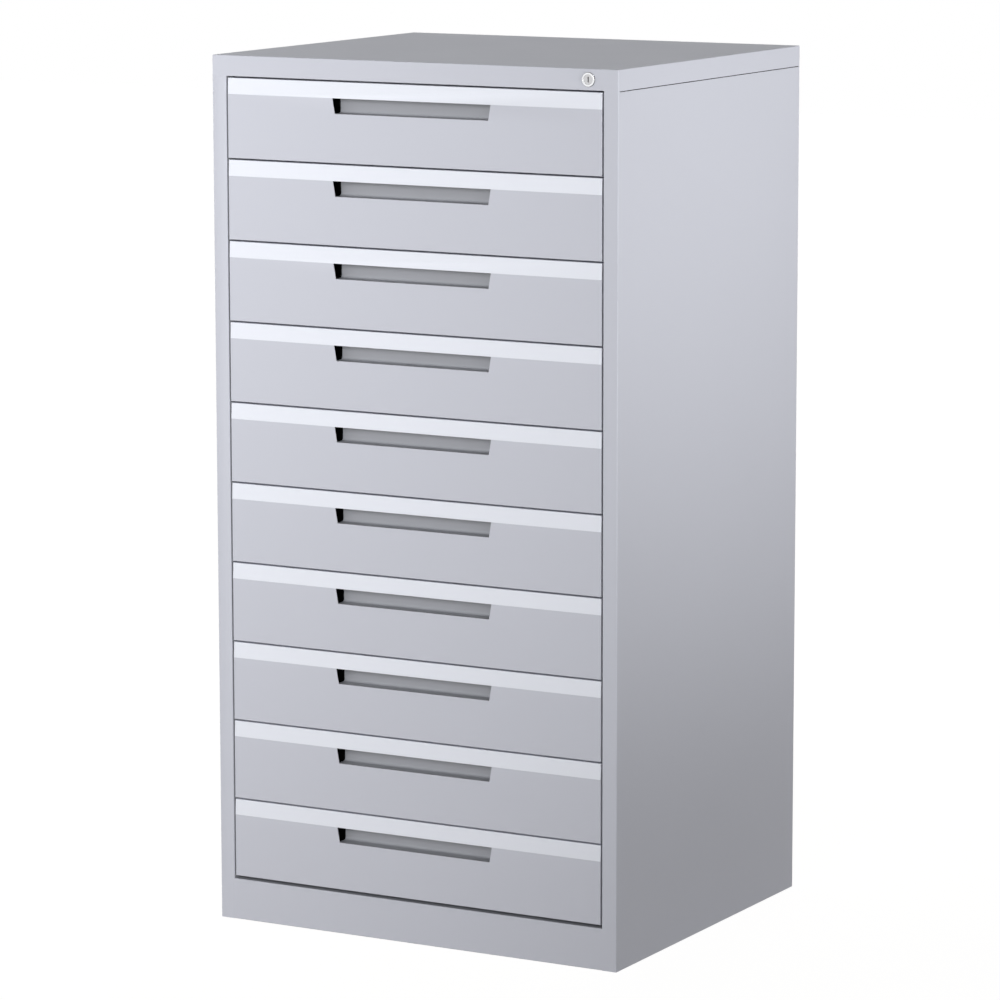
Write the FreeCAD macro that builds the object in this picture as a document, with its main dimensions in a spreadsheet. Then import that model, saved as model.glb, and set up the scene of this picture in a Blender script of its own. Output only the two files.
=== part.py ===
import FreeCAD, Part
import math
import os
import Sketcher

# Ten-drawer steel cabinet, in millimetres.
# +X is to the right of someone facing the drawers, +Y runs from the drawer fronts to the back, +Z is up.
# The origin is on the floor, in the middle of the cabinet's width and depth.

# Sizes that can be set by themselves
SIZES = {
    # Carcass
    "width": 684.0,
    "depth": 595.0,
    "plinth_height": 63.0,
    "plinth_foot": 25.0,
    "shell_sheet": 0.9,
    "shell_bend": 1.4,
    "stile_width": 24.0,
    "stile_return": 18.0,
    "rear_flange": 15.0,
    "foot_flange": 12.0,
    "cap_return": 15.0,
    "seam_gap": 1.2,
    "seam_front_margin": 4.0,
    "seam_rear_margin": 3.0,
    "joggle_height": 18.0,
    "joggle_space": 4.1,
    "back_sheet": 0.8,
    "back_lap": 15.0,
    "panel_clearance": 0.3,
    "pan_flange": 20.0,
    # Drawer layout
    "drawer_count": 10.0,
    "front_height": 119.6,
    "front_gap": 2.5,
    "side_gap": 2.5,
    "base_gap": 5.0,
    # Drawer front
    "front_depth": 28.0,
    "front_sheet": 0.9,
    "front_bend": 1.2,
    "front_lap": 4.0,
    "strip_height": 24.0,
    "strip_setback": 1.0,
    # Finger pull
    "pull_width": 267.0,
    "pull_slant": 4.0,
    "pull_height": 23.0,
    "pull_sheet": 0.8,
    "pull_hood": 12.0,
    "pull_space": 2.3,
    # Drawer tray
    "tray_sheet": 0.8,
    "tray_floor": 8.0,
    "tray_rim_drop": 15.6,
    "tray_flange": 6.0,
    "tray_end_space": 45.3,
    # Telescopic runners
    "slide_space": 13.0,
    "runner_setback": 4.0,
    "runner_end_space": 33.3,
    "runner_height": 36.0,
    "runner_tip_space": 2.0,
    "runner_sheet": 1.2,
    "cradle_tip_space": 1.0,
    "slide_clearance": 0.3,
    "stop_length": 4.0,
    # Posts that carry the runners
    "post_sheet": 1.2,
    "post_width": 26.0,
    "post_offset": 1.0,
    "post_end_space": 14.0,
    "post_headroom": 1.0,
    # Lock cylinder
    "lock_inset": 48.0,
    "rail_margin": 5.0,
    "barrel_radius": 9.0,
    "barrel_clearance": 0.1,
    "head_rim": 1.5,
    "head_height": 2.2,
    "head_chamfer": 0.8,
    "housing_wall": 1.5,
    "nut_wall": 2.0,
    "nut_height": 4.0,
    "plug_clearance": 0.05,
    "plug_recess": 0.3,
    "keyway_width": 1.8,
    "keyway_height": 8.0,
    "keyway_depth": 9.0,
    # Lock cam
    "cam_sheet": 2.0,
    "cam_rim": 1.0,
    "cam_clearance": 0.3,
    "cam_bar_gap": 5.4,
    "pin_throw": 7.0,
    "pin_radius": 2.5,
    "pin_end": 2.0,
    "pin_clearance": 0.4,
    # Lock bar, its tabs and guides, and the drawers' catches
    "bar_sheet": 2.0,
    "bar_width": 11.0,
    "bar_clearance": 0.3,
    "bar_stile_gap": 2.0,
    "bar_head_wall": 4.6,
    "bar_foot_rise": 22.0,
    "tab_height": 6.0,
    "tab_sheet": 1.5,
    "tab_tray_space": 6.5,
    "tab_front_space": 2.2,
    "tab_rail_space": 3.1,
    "tab_lap": 9.0,
    "catch_sheet": 1.5,
    "catch_height": 8.0,
    "catch_rim_drop": 20.0,
    "catch_stile_space": 3.0,
    "catch_base": 16.0,
    "catch_clearance": 0.6,
    "guide_sheet": 1.0,
    "guide_height": 14.0,
    "guide_centre": 30.0,
    "guide_count": 3.0,
    "guide_spacing": 4.0,
}

# The key turns a quarter turn, and the cam's pin swings from 45 degrees below level to 45 degrees above
HALF_TURN = math.radians(45)
NUT_SIDES = 6

# Edges closer than this to a place lie on it, and a cut takes at least this volume away
SAME_PLACE = 1e-4
LEAST_CUT = 1e-3


class Size:
    """A length, with the spreadsheet expression that gives it."""

    def __init__(self, text, value):
        self.text = text
        self.value = float(value)

    @staticmethod
    def of(number):
        """Return a Size unchanged, and a plain number as a Size."""
        return number if isinstance(number, Size) else Size(format(number, ".12g"), number)

    def __add__(self, other):
        other = Size.of(other)
        return Size(f"{self.text} + {other.text}", self.value + other.value)

    def __sub__(self, other):
        other = Size.of(other)
        return Size(f"{self.text} - ({other.text})", self.value - other.value)

    def __mul__(self, other):
        other = Size.of(other)
        return Size(f"({self.text}) * ({other.text})", self.value * other.value)

    def __truediv__(self, other):
        other = Size.of(other)
        return Size(f"({self.text}) / ({other.text})", self.value / other.value)

    def __neg__(self):
        return Size(f"-({self.text})", -self.value)

    def __rsub__(self, other):
        return Size.of(other) - self

    __radd__ = __add__
    __rmul__ = __mul__


def write_sheet(doc):
    """Write the sizes to the spreadsheet and return each as a Size, by name."""
    sheet = doc.addObject("Spreadsheet::Sheet", "dims")
    sizes = {}
    for row, (name, value) in enumerate(SIZES.items(), start=1):
        sheet.set(f"A{row}", name)
        sheet.set(f"B{row}", str(value))
        sheet.setAlias(f"B{row}", name)
        sizes[name] = Size(f"dims.{name}", value)
    doc.recompute()
    return sizes


doc = FreeCAD.newDocument("cabinet")
d = write_sheet(doc)
ZERO = Size.of(0)

# Lock sizes, which set the height of the front rail
head_radius = d["barrel_radius"] + d["head_rim"]
plug_radius = d["barrel_radius"] - d["housing_wall"]
pin_across = d["pin_throw"] * math.cos(HALF_TURN)
pin_drop = d["pin_throw"] * math.sin(HALF_TURN)
bar_travel = 2 * pin_drop

# Carcass, from the floor up and from the middle out
half_width = d["width"] / 2
panel_inner = half_width - d["shell_sheet"]
stile_inner = half_width - d["stile_width"]
post_face = stile_inner - d["post_offset"]
tray_half = post_face - d["slide_space"]
pan_top = d["plinth_height"] - d["shell_sheet"]
first_drawer = d["plinth_height"] + d["base_gap"]
pitch = d["front_height"] + d["front_gap"]
body_top = first_drawer + d["drawer_count"] * pitch
cap_height = 2 * (head_radius + d["rail_margin"])
total_height = body_top + cap_height

# From the drawer fronts to the back
front_plane = -(d["depth"] - d["head_height"]) / 2
bar_front = d["front_depth"] + d["tab_front_space"] + d["tab_sheet"]
bar_back = bar_front + d["bar_sheet"]
front_post = bar_back + d["bar_clearance"]
back_front = d["depth"] - d["shell_sheet"] - d["back_sheet"]
runner_start = front_post + d["runner_setback"]
runner_end = back_front - d["runner_end_space"]
rear_post = runner_end - d["post_end_space"] - d["post_width"]
barrel_length = bar_front - d["cam_bar_gap"] - d["cam_sheet"] - d["cam_clearance"]

# Heights in one drawer, from its bottom edge
crease = d["front_height"] - d["strip_height"]
pull_bottom = crease - d["pull_height"]
rim = d["front_height"] - d["tray_rim_drop"]
catch_centre = rim - d["catch_rim_drop"]
runner_half = d["runner_height"] / 2
rail_centre = catch_centre - bar_travel - d["tab_height"] / 2 - d["tab_rail_space"] - runner_half

# The three channels of a runner, each inside the last
slide_step = d["runner_sheet"] + d["slide_clearance"]
cradle_web = post_face - slide_step
cradle_half = runner_half - slide_step
rail_web = cradle_web - slide_step
rail_half = cradle_half - slide_step

# Lock bar
lock_x = half_width - d["lock_inset"]
lock_z = body_top + cap_height / 2
bar_inner = stile_inner + d["bar_stile_gap"]
bar_outer = bar_inner + d["bar_width"]

count = int(d["drawer_count"].value)

sub_parts = []
cuts = []


def new_body(name, x=ZERO, y=front_plane, z=ZERO):
    """Return an empty sub-part with its own label and place."""
    body = doc.addObject("PartDesign::Body", name)
    body.Label = name
    for axis, place in (("x", x), ("y", y), ("z", z)):
        body.setExpression(f"Placement.Base.{axis}", place.text)
    sub_parts.append(body)
    return body


def new_member(name):
    """Return an empty body for one solid of a group, which gives it its place."""
    return doc.addObject("PartDesign::Body", name)


def new_group(name, members, z):
    """Return a sub-part of separate solids that are fixed to each other."""
    group = doc.addObject("Part::Compound", name)
    group.Label = name
    group.Links = members
    group.setExpression("Placement.Base.y", front_plane.text)
    group.setExpression("Placement.Base.z", z.text)
    sub_parts.append(group)
    return group


def rect(low_u, high_u, low_v, high_v):
    """Return the corners of a rectangle."""
    return [(low_u, low_v), (high_u, low_v), (high_u, high_v), (low_u, high_v)]


def mirrored(points):
    """Return points on the other side of the middle plane."""
    return [(-u, v) for u, v in points]


def folded(path, sheet):
    """Return the closed outline of folded sheet, which lies on the left of a path of square corners."""
    normals = []
    for (u0, v0), (u1, v1) in zip(path, path[1:]):
        run_u = u1.value - u0.value
        run_v = v1.value - v0.value
        if abs(run_v) > abs(run_u):
            normals.append((-math.copysign(1, run_v), 0))
        else:
            normals.append((0, math.copysign(1, run_u)))
    inner = []
    for index, (u, v) in enumerate(path):
        touching = normals[max(index - 1, 0):index + 1]
        shift_u = next((n[0] for n in touching if n[0]), 0)
        shift_v = next((n[1] for n in touching if n[1]), 0)
        inner.append((u + sheet * shift_u, v + sheet * shift_v))
    return list(path) + inner[::-1]


def add_polygon(sketch, points):
    """Draw a closed polygon and fix each corner by its expressions."""
    first = len(sketch.Geometry)
    total = len(points)
    vectors = [FreeCAD.Vector(u.value, v.value, 0) for u, v in points]
    for index in range(total):
        sketch.addGeometry(Part.LineSegment(vectors[index], vectors[(index + 1) % total]), False)
    for index in range(total):
        after = first + (index + 1) % total
        sketch.addConstraint(Sketcher.Constraint("Coincident", first + index, 2, after, 1))
    for index, (u, v) in enumerate(points):
        for kind, place in (("DistanceX", u), ("DistanceY", v)):
            number = sketch.addConstraint(
                Sketcher.Constraint(kind, -1, 1, first + index, 1, place.value))
            sketch.setExpression(f"Constraints[{number}]", place.text)


def add_circle(sketch, u, v, radius):
    """Draw a circle and fix its centre and radius by their expressions."""
    circle = Part.Circle(FreeCAD.Vector(u.value, v.value, 0), FreeCAD.Vector(0, 0, 1), radius.value)
    index = sketch.addGeometry(circle, False)
    for kind, place in (("DistanceX", u), ("DistanceY", v)):
        number = sketch.addConstraint(Sketcher.Constraint(kind, -1, 1, index, 3, place.value))
        sketch.setExpression(f"Constraints[{number}]", place.text)
    number = sketch.addConstraint(Sketcher.Constraint("Radius", index, radius.value))
    sketch.setExpression(f"Constraints[{number}]", radius.text)


def new_sketch(body, name, role, place=ZERO):
    """Return a sketch on one of the body's origin planes, moved to a place along the plane's axis."""
    sketch = body.newObject("Sketcher::SketchObject", name + "_sketch")
    plane = next(item for item in body.Origin.OriginFeatures if item.Role == role)
    sketch.AttachmentSupport = [(plane, "")]
    sketch.MapMode = "FlatFace"
    # The sketch on the XZ plane faces the front, against +Y
    offset = -place if role == "XZ_Plane" else place
    sketch.setExpression("AttachmentOffset.Base.z", offset.text)
    return sketch


def draw(sketch, loops):
    """Draw each loop: a list of corners, or a circle as (u, v, radius)."""
    for loop in loops:
        if isinstance(loop, tuple):
            add_circle(sketch, *loop)
        else:
            add_polygon(sketch, loop)


def pad(body, name, role, loops, start, length):
    """Add material from start, for length in the direction of the plane's positive axis."""
    sketch = new_sketch(body, name, role, start)
    draw(sketch, loops)
    feature = body.newObject("PartDesign::Pad", name)
    feature.Profile = sketch
    feature.Reversed = role == "XZ_Plane"
    feature.setExpression("Length", length.text)
    doc.recompute()
    return feature


def pocket(body, name, role, loops, start, length):
    """Cut material from start, for length in the direction of the plane's positive axis."""
    sketch = new_sketch(body, name, role, start)
    draw(sketch, loops)
    feature = body.newObject("PartDesign::Pocket", name)
    feature.Profile = sketch
    feature.Reversed = role != "XZ_Plane"
    feature.setExpression("Length", length.text)
    doc.recompute()
    cuts.append(feature)
    return feature


def revolve(body, name, profile):
    """Turn a profile of (radius, place along Y) about the body's Y axis."""
    sketch = new_sketch(body, name, "XY_Plane")
    draw(sketch, [profile])
    feature = body.newObject("PartDesign::Revolution", name)
    feature.Profile = sketch
    feature.ReferenceAxis = (sketch, ["V_Axis"])
    feature.Angle = 360
    doc.recompute()
    return feature


def repeat_up(body, original, spacing, number):
    """Repeat a feature up the cabinet."""
    pattern = body.newObject("PartDesign::LinearPattern", original.Name + "_column")
    pattern.Originals = [original]
    axis = next(item for item in body.Origin.OriginFeatures if item.Role == "Z_Axis")
    pattern.Direction = (axis, [""])
    pattern.setExpression("Length", (spacing * (number - 1)).text)
    pattern.setExpression("Occurrences", number.text)
    body.Tip = pattern
    doc.recompute()
    return pattern


def round_edges(body, name, base, radius, wanted):
    """Round the edges of a feature for which wanted(edge) holds."""
    names = [f"Edge{index}" for index, edge in enumerate(base.Shape.Edges, start=1) if wanted(edge)]
    fillet = body.newObject("PartDesign::Fillet", name)
    fillet.Base = (base, names)
    fillet.setExpression("Radius", radius.text)
    doc.recompute()
    return fillet


def is_at(edge, **places):
    """Say whether all of an edge lies at the given x, y or z."""
    box = edge.BoundBox
    spans = {"x": (box.XMin, box.XMax), "y": (box.YMin, box.YMax), "z": (box.ZMin, box.ZMax)}
    return all(
        max(abs(end - place.value) for end in spans[axis]) < SAME_PLACE
        for axis, place in places.items()
    )


def is_upright(edge):
    """Say whether an edge runs along Z."""
    return edge.BoundBox.ZLength > max(edge.BoundBox.XLength, edge.BoundBox.YLength)


def channel(web, tip, centre, half_height, sheet):
    """Return the section of a channel that lies on its side and opens towards the drawer."""
    path = [
        (tip, centre - half_height),
        (web, centre - half_height),
        (web, centre + half_height),
        (tip, centre + half_height),
    ]
    return folded(path, sheet)


# Carcass


def make_top_cover():
    """Make the folded cap whose front flange is the rail over the drawers."""
    body = new_body("top_cover", z=body_top)
    block = pad(body, "cap_block", "XY_Plane", [rect(-half_width, half_width, ZERO, d["depth"])],
                ZERO, cap_height)
    round_edges(body, "cap_bends", block, d["shell_bend"],
                lambda edge: is_upright(edge) or is_at(edge, z=cap_height))
    hollow = rect(-panel_inner, panel_inner, d["shell_sheet"], d["depth"] - d["shell_sheet"])
    pocket(body, "cap_hollow", "XY_Plane", [hollow], ZERO, cap_height - d["shell_sheet"])
    stiffener = rect(-panel_inner, panel_inner, d["shell_sheet"], d["cap_return"])
    pad(body, "cap_front_return", "XY_Plane", [stiffener], ZERO, d["shell_sheet"])
    hole_radius = d["barrel_radius"] + d["barrel_clearance"]
    pocket(body, "cap_lock_hole", "XZ_Plane", [(lock_x, cap_height / 2, hole_radius)],
           ZERO, d["shell_sheet"])


def make_side_panel(name, side):
    """Make a side panel with its front stile, rear flange, foot flange and joggle under the cap."""

    def placed(points):
        return points if side > 0 else mirrored(points)

    body = new_body(name)
    section = folded([
        (stile_inner, d["stile_return"]),
        (stile_inner, ZERO),
        (half_width, ZERO),
        (half_width, d["depth"]),
        (half_width - d["rear_flange"], d["depth"]),
    ], d["shell_sheet"])
    wrap = pad(body, name + "_wrap", "XY_Plane", [placed(section)], ZERO, body_top)
    corners = [(stile_inner, ZERO), (half_width, ZERO), (half_width, d["depth"])]
    round_edges(body, name + "_bends", wrap, d["shell_bend"],
                lambda edge: is_upright(edge) and any(is_at(edge, x=side * x, y=y) for x, y in corners))
    rear = d["depth"] - d["seam_rear_margin"]
    seam = rect(panel_inner - d["shell_sheet"], half_width + d["shell_sheet"], d["seam_front_margin"], rear)
    pocket(body, name + "_seam", "XY_Plane", [placed(seam)], body_top - d["seam_gap"], d["seam_gap"])
    # The joggle starts behind the cap's front return
    joggle = rect(panel_inner - d["shell_sheet"], panel_inner, d["cap_return"] + d["joggle_space"],
                  rear + d["shell_sheet"])
    pad(body, name + "_joggle", "XY_Plane", [placed(joggle)], body_top - d["joggle_height"],
        2 * d["joggle_height"])
    foot = rect(half_width - d["foot_flange"], panel_inner, d["plinth_foot"] + d["panel_clearance"],
                back_front - d["panel_clearance"])
    pad(body, name + "_foot", "XY_Plane", [placed(foot)], ZERO, d["shell_sheet"])


def make_plinth():
    """Make the kick plate under the lowest drawer, with its shelf and foot flanges."""
    body = new_body("plinth")
    section = folded([
        (front_post - d["panel_clearance"], d["plinth_height"]),
        (ZERO, d["plinth_height"]),
        (ZERO, ZERO),
        (d["plinth_foot"], ZERO),
    ], d["shell_sheet"])
    plate = pad(body, "plinth_plate", "YZ_Plane", [section], -stile_inner, 2 * stile_inner)
    round_edges(body, "plinth_bend", plate, d["shell_bend"],
                lambda edge: is_at(edge, y=ZERO, z=d["plinth_height"]))


def make_base_pan():
    """Make the floor of the carcass, on which the posts stand."""
    body = new_body("base_pan")
    low = pan_top - d["pan_flange"]
    section = folded([
        (panel_inner, low),
        (panel_inner, pan_top),
        (-panel_inner, pan_top),
        (-panel_inner, low),
    ], d["shell_sheet"])
    pad(body, "base_pan_sheet", "XZ_Plane", [section], d["stile_return"], back_front - d["stile_return"])


def make_back_panel():
    """Make the back, held inside the rear flanges of the sides and of the cap."""
    body = new_body("back_panel")
    edge = panel_inner - d["panel_clearance"]
    pad(body, "back_sheet_metal", "XZ_Plane", [rect(-edge, edge, ZERO, body_top + d["back_lap"])],
        back_front, d["back_sheet"])


def make_post(name, side, place):
    """Make an upright that carries one end of the runners of one side."""
    body = new_body(name)
    far = place + d["post_width"]
    section = folded([(panel_inner, far), (post_face, far), (post_face, place), (panel_inner, place)],
                     d["post_sheet"])
    length = body_top - d["joggle_height"] - d["post_headroom"] - pan_top
    pad(body, name + "_channel", "XY_Plane", [section if side > 0 else mirrored(section)], pan_top, length)


# Runners

def make_runners(name, side):
    """Make one side's fixed channels, a drawer pitch apart."""
    body = new_body(name)
    tip = tray_half + d["runner_tip_space"]
    section = channel(post_face, tip, first_drawer + rail_centre, runner_half, d["runner_sheet"])
    runner = pad(body, name + "_channel", "XZ_Plane", [section if side > 0 else mirrored(section)],
                 runner_start, runner_end - runner_start)
    repeat_up(body, runner, pitch, d["drawer_count"])


def make_runner_stops():
    """Make the buffers at the back of the fixed channels."""
    body = new_body("runner_stops")
    centre = first_drawer + rail_centre
    reach = runner_half - d["runner_sheet"]
    tip = tray_half + d["runner_tip_space"]
    block = rect(tip, post_face - d["runner_sheet"], centre - reach, centre + reach)
    stop = pad(body, "stop_blocks", "XZ_Plane", [block, mirrored(block)],
               runner_end - d["stop_length"], d["stop_length"])
    repeat_up(body, stop, pitch, d["drawer_count"])


def make_cradle(number, bottom):
    """Make a drawer's pair of intermediate channels, which travel half as far as the drawer."""
    name = f"drawer_cradle_{number:02d}"
    body = new_body(name, z=bottom)
    tip = tray_half + d["cradle_tip_space"]
    section = channel(cradle_web, tip, rail_centre, cradle_half, d["runner_sheet"])
    end = runner_end - d["stop_length"] - d["slide_clearance"]
    pad(body, name + "_channels", "XZ_Plane", [section, mirrored(section)], runner_start, end - runner_start)


# Drawers


def make_front(number, bottom):
    """Make a drawer front: a shallow pan with a crease under its top strip and the pull's opening."""
    front_half = stile_inner - d["side_gap"]
    name = f"drawer_front_{number:02d}"
    body = new_body(name, z=bottom)
    sheet = d["front_sheet"]
    height = d["front_height"]
    outside = [
        (ZERO, ZERO),
        (ZERO, crease),
        (d["strip_setback"], height),
        (d["front_depth"], height),
        (d["front_depth"], ZERO),
    ]
    block = pad(body, name + "_block", "YZ_Plane", [outside], -front_half, 2 * front_half)

    def on_rim(edge):
        box = edge.BoundBox
        at_front = box.YMax < d["strip_setback"].value + SAME_PLACE
        return at_front and not is_at(edge, y=ZERO, z=crease)

    round_edges(body, name + "_bends", block, d["front_bend"], on_rim)
    inside = [
        (sheet, sheet),
        (sheet, crease),
        (d["strip_setback"] + sheet, height - sheet),
        (d["front_depth"] - sheet, height - sheet),
        (d["front_depth"] - sheet, sheet),
    ]
    inner_half = front_half - sheet
    pocket(body, name + "_hollow", "YZ_Plane", [inside], -inner_half, 2 * inner_half)
    back_half = tray_half - d["front_lap"]
    back = rect(-back_half, back_half, d["tray_floor"] + d["front_lap"], rim - d["front_lap"])
    pocket(body, name + "_back", "XZ_Plane", [back], d["front_depth"] - sheet, sheet)
    top_half = d["pull_width"] / 2
    bottom_half = top_half - d["pull_slant"]
    opening = [
        (-bottom_half, pull_bottom),
        (bottom_half, pull_bottom),
        (top_half, crease),
        (-top_half, crease),
    ]
    pocket(body, name + "_opening", "XZ_Plane", [opening], ZERO, sheet)


def make_pull(number, bottom):
    """Make the open-ended channel behind the pull's opening, with a hood for the fingers behind the strip."""
    name = f"drawer_pull_{number:02d}"
    body = new_body(name, z=bottom)
    front = d["front_sheet"]
    hood_front = front + d["strip_setback"] * d["pull_hood"] / (d["strip_height"] - front)
    back = d["front_depth"] - front - d["pull_space"]
    top = crease + d["pull_hood"]
    section = folded([
        (front, pull_bottom - d["pull_sheet"]),
        (back, pull_bottom - d["pull_sheet"]),
        (back, top),
        (hood_front, top),
    ], d["pull_sheet"])
    half = d["pull_width"] / 2
    pad(body, name + "_channel", "YZ_Plane", [section], -half, 2 * half)


def make_tray(number, bottom):
    """Make a drawer tray with the rails that run in the cradles, and the lock catch on its right side."""
    name = f"drawer_tray_{number:02d}"
    tray = new_member(name + "_box")
    sheet = d["tray_sheet"]
    floor = d["tray_floor"]
    half_path = [
        (tray_half, floor),
        (tray_half, rim),
        (tray_half + d["tray_flange"], rim),
    ]
    section = folded(mirrored(half_path)[::-1] + half_path, sheet)
    start = d["front_depth"]
    end = back_front - d["tray_end_space"]
    pad(tray, name + "_trough", "XZ_Plane", [section], start, end - start)
    wall = rect(-tray_half, tray_half, floor, rim + sheet)
    pad(tray, name + "_front_wall", "XZ_Plane", [wall], start, sheet)
    pad(tray, name + "_rear_wall", "XZ_Plane", [wall], end - sheet, sheet)
    rails = new_member(name + "_rails")
    rail = channel(rail_web, tray_half, rail_centre, rail_half, d["runner_sheet"])
    pad(rails, name + "_rail_pair", "XZ_Plane", [rail, mirrored(rail)], runner_start, end - runner_start)
    catch = new_member(name + "_catch")
    tongue = bar_front + d["catch_clearance"]
    angle = folded([
        (tray_half, tongue + d["catch_base"]),
        (tray_half, tongue),
        (stile_inner - d["catch_stile_space"], tongue),
    ], d["catch_sheet"])
    pad(catch, name + "_angle", "XY_Plane", [angle], catch_centre - d["catch_height"] / 2, d["catch_height"])
    new_group(name, [tray, rails, catch], bottom)


# Lock


def make_lock_housing():
    """Make the lock's fixed barrel, with its head against the front rail."""
    body = new_body("lock_housing", x=lock_x, z=lock_z)
    bore = plug_radius + d["plug_clearance"]
    revolve(body, "housing_turned", [
        (bore, -d["head_height"]),
        (head_radius - d["head_chamfer"], -d["head_height"]),
        (head_radius, d["head_chamfer"] - d["head_height"]),
        (head_radius, ZERO),
        (d["barrel_radius"], ZERO),
        (d["barrel_radius"], barrel_length),
        (bore, barrel_length),
    ])


def make_lock_nut():
    """Make the hexagonal nut that clamps the housing to the rail."""
    body = new_body("lock_nut", x=lock_x, z=lock_z)
    corner = 2 * (d["barrel_radius"] + d["nut_wall"]) / math.sqrt(3)
    hexagon = []
    for index in range(NUT_SIDES):
        angle = 2 * math.pi * index / NUT_SIDES
        hexagon.append((corner * math.cos(angle), corner * math.sin(angle)))
    bore = (ZERO, ZERO, d["barrel_radius"] + d["plug_clearance"])
    pad(body, "nut_hexagon", "XZ_Plane", [hexagon, bore], d["shell_sheet"], d["nut_height"])


def make_lock_plug():
    """Make the plug that the key turns."""
    body = new_body("lock_plug", x=lock_x, z=lock_z)
    face = d["plug_recess"] - d["head_height"]
    tail = barrel_length + d["cam_clearance"]
    revolve(body, "plug_turned", [(ZERO, face), (plug_radius, face), (plug_radius, tail), (ZERO, tail)])
    half_slit = d["keyway_width"] / 2
    half_tall = d["keyway_height"] / 2
    keyway = rect(-half_slit, half_slit, -half_tall, half_tall)
    pocket(body, "plug_keyway", "XZ_Plane", [keyway], face, d["keyway_depth"])


def make_lock_cam():
    """Make the disc on the plug's tail, with the pin that lifts and lowers the bar."""
    body = new_body("lock_cam", x=lock_x, z=lock_z)
    disc_front = barrel_length + d["cam_clearance"]
    disc_radius = d["pin_throw"] + d["pin_radius"] + d["cam_rim"]
    pad(body, "cam_disc", "XZ_Plane", [(ZERO, ZERO, disc_radius)], disc_front, d["cam_sheet"])
    pin_start = disc_front + d["cam_sheet"]
    pad(body, "cam_pin", "XZ_Plane", [(pin_across, -pin_drop, d["pin_radius"])], pin_start,
        bar_back + d["pin_end"] - pin_start)


def make_lock_bar():
    """Make the bar that runs down behind the right stile, and its head with the slot for the cam's pin."""
    reach = d["pin_radius"] + d["pin_clearance"]
    slot_left = lock_x + pin_across - reach
    slot_low = lock_z - pin_drop - reach
    slot_top = lock_z - pin_drop + reach
    slot = rect(slot_left, lock_x + d["pin_throw"] + reach, slot_low, slot_top)
    wall = d["bar_head_wall"]
    foot = first_drawer + d["bar_foot_rise"]
    strip = new_member("bar_strip")
    pad(strip, "bar_strip_plate", "XZ_Plane", [rect(bar_inner, bar_outer, foot, slot_top + wall)],
        bar_front, d["bar_sheet"])
    head = new_member("bar_head")
    plate = rect(slot_left - wall, bar_inner, slot_low - wall, slot_top + wall)
    pad(head, "bar_head_plate", "XZ_Plane", [plate, slot], bar_front, d["bar_sheet"])
    new_group("lock_bar", [strip, head], ZERO)


def make_lock_tabs():
    """Make the tab for each drawer, fixed to the front of the bar and below the drawer's catch."""
    body = new_body("lock_tabs")
    centre = first_drawer + catch_centre - bar_travel
    plate = rect(tray_half + d["tab_tray_space"], bar_inner + d["tab_lap"],
                 centre - d["tab_height"] / 2, centre + d["tab_height"] / 2)
    tab = pad(body, "tab_plate", "XZ_Plane", [plate], bar_front - d["tab_sheet"], d["tab_sheet"])
    repeat_up(body, tab, pitch, d["drawer_count"])


def make_lock_guides():
    """Make the clips that hold the bar against the front post."""
    body = new_body("lock_bar_guides")
    sheet = d["guide_sheet"]
    left = bar_inner - d["bar_clearance"] - sheet
    right = bar_outer + d["bar_clearance"] + sheet
    front = bar_front - d["bar_clearance"] - sheet
    section = folded([
        (left, front_post),
        (left, front),
        (right, front),
        (right, front_post - sheet),
        (panel_inner - sheet, front_post - sheet),
    ], sheet)
    # The highest clip is level with the top drawer, and the others follow below it
    lowest = d["drawer_count"] - 1 - d["guide_spacing"] * (d["guide_count"] - 1)
    low = first_drawer + pitch * lowest + d["guide_centre"] - d["guide_height"] / 2
    clip = pad(body, "guide_clip", "XY_Plane", [section], low, d["guide_height"])
    repeat_up(body, clip, pitch * d["guide_spacing"], d["guide_count"])


def build():
    """Make every sub-part of the cabinet."""
    make_top_cover()
    make_side_panel("side_panel_left", -1)
    make_side_panel("side_panel_right", 1)
    make_plinth()
    make_base_pan()
    make_back_panel()
    for side_name, side in (("left", -1), ("right", 1)):
        make_post(f"post_front_{side_name}", side, front_post)
        make_post(f"post_rear_{side_name}", side, rear_post)
        make_runners(f"runners_{side_name}", side)
    make_runner_stops()
    # Drawer 01 is the top one
    for number in range(1, count + 1):
        bottom = first_drawer + pitch * (count - number)
        make_front(number, bottom)
        make_pull(number, bottom)
        make_tray(number, bottom)
        make_cradle(number, bottom)
    make_lock_housing()
    make_lock_nut()
    make_lock_plug()
    make_lock_cam()
    make_lock_bar()
    make_lock_tabs()
    make_lock_guides()
    doc.recompute()


def check():
    """Stop if an object failed, a cut removed nothing or a sub-part has no valid shape."""
    for item in doc.Objects:
        if {"Invalid", "Error"} & set(item.State):
            raise RuntimeError(f"{item.Name} failed: {item.State}")
    for feature in cuts:
        if feature.Shape.Volume > feature.BaseFeature.Shape.Volume - LEAST_CUT:
            raise RuntimeError(f"{feature.Name} cuts nothing")
    for body in sub_parts:
        if body.Shape.isNull() or not body.Shape.isValid():
            raise RuntimeError(f"{body.Label} has no valid shape")


def write():
    """Write each sub-part to its own file."""
    os.makedirs("parts", exist_ok=True)
    for body in sub_parts:
        body.Shape.exportStep(f"parts/{body.Label}.step")


build()
check()
write()
print(f"{len(sub_parts)} sub-parts, {sum(len(body.Shape.Solids) for body in sub_parts)} solids")
print(f"height {total_height.value:.1f}, drawer pitch {pitch.value:.2f}, bar travel {bar_travel.value:.3f}")
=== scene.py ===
"""Looks of a ten-drawer steel cabinet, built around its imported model.

Sizes are written in millimetres: x to the right of someone facing the drawers, from the middle of the
cabinet; y to the back, from the plane of the drawer fronts; z up from the floor.
"""
import logging
import math
from collections.abc import Callable, Iterator, Mapping, Sequence
from contextlib import contextmanager
from dataclasses import dataclass
from enum import Enum

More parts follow.
